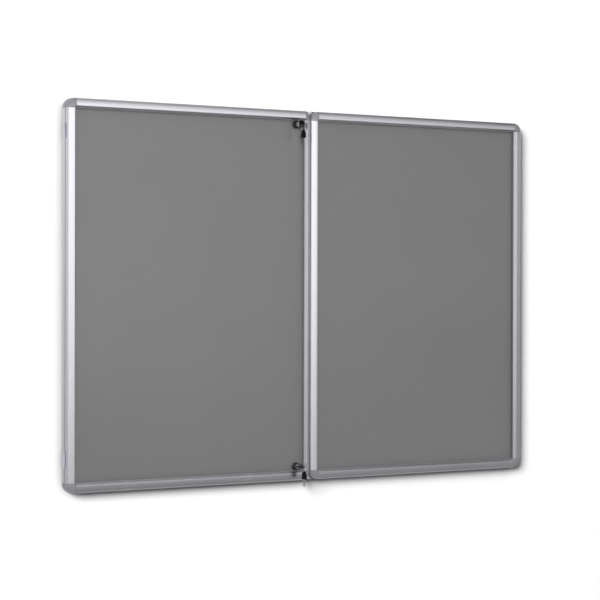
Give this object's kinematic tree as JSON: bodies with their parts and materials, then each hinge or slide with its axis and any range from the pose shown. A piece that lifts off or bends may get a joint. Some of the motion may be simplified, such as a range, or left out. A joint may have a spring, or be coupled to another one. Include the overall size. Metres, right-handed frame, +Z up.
{
  "type": "lockable notice board",
  "caption": "shallow felt-lined wall case with two side-hung glazed doors in a slim rounded metal frame, key locks, key rings and slide bolts",
  "frame": {"origin": "on the wall plane, at the middle of the back face of the case's top rail", "axes": "+X to the right seen from the front, +Y into the wall, +Z up; the front faces -Y"},
  "size_m": [1.8106, 0.0774, 1.2192],
  "materials": {
    "aluminium": "satin anodised",
    "corner_plastic": "fine-grained grey moulding",
    "felt": "short grey felt",
    "fibreboard": "bare soft fibreboard",
    "clear_glazing": "clear acrylic sheet",
    "gasket_rubber": "matt grey",
    "steel": "zinc plated",
    "lock_metal": "dark satin",
    "key_black": "black moulding"
  },
  "bodies": {
    "case": {"case_top_rail": "aluminium", "case_bottom_rail": "aluminium", "case_left_stile": "aluminium", "case_right_stile": "aluminium", "case_corner_top_left": "corner_plastic", "case_corner_bottom_left": "corner_plastic", "case_corner_top_right": "corner_plastic", "case_corner_bottom_right": "corner_plastic", "back_board": "fibreboard", "felt_cover": "felt", "left_top_hinge_case_leaf": "steel", "left_top_hinge_pin": "steel", "left_bottom_hinge_case_leaf": "steel", "left_bottom_hinge_pin": "steel", "right_top_hinge_case_leaf": "steel", "right_top_hinge_pin": "steel", "right_bottom_hinge_case_leaf": "steel", "right_bottom_hinge_pin": "steel"},
    "left_door": {"left_door_top_rail": "aluminium", "left_door_bottom_rail": "aluminium", "left_door_hinge_stile": "aluminium", "left_door_meeting_stile": "aluminium", "left_door_corner_top_hinge": "corner_plastic", "left_door_corner_top_meeting": "corner_plastic", "left_door_corner_bottom_hinge": "corner_plastic", "left_door_corner_bottom_meeting": "corner_plastic", "left_door_glazing": "clear_glazing", "left_door_gasket": "gasket_rubber", "left_top_hinge_door_leaf": "steel", "left_bottom_hinge_door_leaf": "steel", "top_lock_body": "lock_metal", "top_lock_nut": "steel", "bottom_lock_body": "lock_metal", "bottom_lock_nut": "steel"},
    "right_door": {"right_door_top_rail": "aluminium", "right_door_bottom_rail": "aluminium", "right_door_hinge_stile": "aluminium", "right_door_meeting_stile": "aluminium", "right_door_corner_top_hinge": "corner_plastic", "right_door_corner_top_meeting": "corner_plastic", "right_door_corner_bottom_hinge": "corner_plastic", "right_door_corner_bottom_meeting": "corner_plastic", "right_door_glazing": "clear_glazing", "right_door_gasket": "gasket_rubber", "right_top_hinge_door_leaf": "steel", "right_bottom_hinge_door_leaf": "steel", "top_bolt_guide": "steel", "bottom_bolt_guide": "steel"},
    "top_plug": {"top_lock_plug": "steel", "top_lock_cam": "steel"},
    "top_key": {"top_lock_key": "key_black"},
    "top_ring": {"top_key_ring": "steel"},
    "top_spare": {"top_spare_key": "key_black"},
    "top_slide": {"top_bolt": "steel"},
    "bottom_plug": {"bottom_lock_plug": "steel", "bottom_lock_cam": "steel"},
    "bottom_key": {"bottom_lock_key": "key_black"},
    "bottom_ring": {"bottom_key_ring": "steel"},
    "bottom_spare": {"bottom_spare_key": "key_black"},
    "bottom_slide": {"bottom_bolt": "steel"}
  },
  "joints": [
    {"name": "left_door_swing", "type": "hinge", "parent": "case", "child": "left_door", "pos_m": [-0.9028, -0.019, 0], "axis": [0, 0, -1], "range_deg": [0, 170]},
    {"name": "right_door_swing", "type": "hinge", "parent": "case", "child": "right_door", "pos_m": [0.9028, -0.019, 0], "axis": [0, 0, 1], "range_deg": [0, 170]},
    {"name": "top_lock_turn", "type": "hinge", "parent": "left_door", "child": "top_plug", "pos_m": [-0.052, -0.0347, -0.03], "axis": [0, -1, 0], "range_deg": [0, 90]},
    {"name": "top_key_pull", "type": "slide", "parent": "top_plug", "child": "top_key", "axis": [0, -1, 0], "range_m": [0, 0.018]},
    {"name": "top_ring_hang", "type": "hinge", "parent": "top_key", "child": "top_ring", "pos_m": [-0.052, -0.0654, -0.03542], "axis": [0, -1, 0], "range_deg": [-90, 0]},
    {"name": "top_spare_swing", "type": "hinge", "parent": "top_ring", "child": "top_spare", "pos_m": [-0.052, -0.0654, -0.0417], "axis": [0, 1, 0], "range_deg": [-60, 60]},
    {"name": "top_bolt_slide", "type": "slide", "parent": "right_door", "child": "top_slide", "axis": [0, 0, 1], "range_m": [0, 0.012]},
    {"name": "bottom_lock_turn", "type": "hinge", "parent": "left_door", "child": "bottom_plug", "pos_m": [-0.052, -0.0347, -1.14], "axis": [0, 1, 0], "range_deg": [0, 90]},
    {"name": "bottom_key_pull", "type": "slide", "parent": "bottom_plug", "child": "bottom_key", "axis": [0, -1, 0], "range_m": [0, 0.018]},
    {"name": "bottom_ring_hang", "type": "hinge", "parent": "bottom_key", "child": "bottom_ring", "pos_m": [-0.04658, -0.0654, -1.14], "axis": [0, 1, 0], "range_deg": [-90, 0]},
    {"name": "bottom_spare_swing", "type": "hinge", "parent": "bottom_ring", "child": "bottom_spare", "pos_m": [-0.04658, -0.0654, -1.14628], "axis": [0, 1, 0], "range_deg": [-60, 60]},
    {"name": "bottom_bolt_slide", "type": "slide", "parent": "right_door", "child": "bottom_slide", "axis": [0, 0, -1], "range_m": [0, 0.012]}
  ],
  "couplings": [
    {"joint": "top_ring_hang", "follows": "top_lock_turn", "ratio": -1},
    {"joint": "bottom_ring_hang", "follows": "bottom_lock_turn", "ratio": -1}
  ]
}
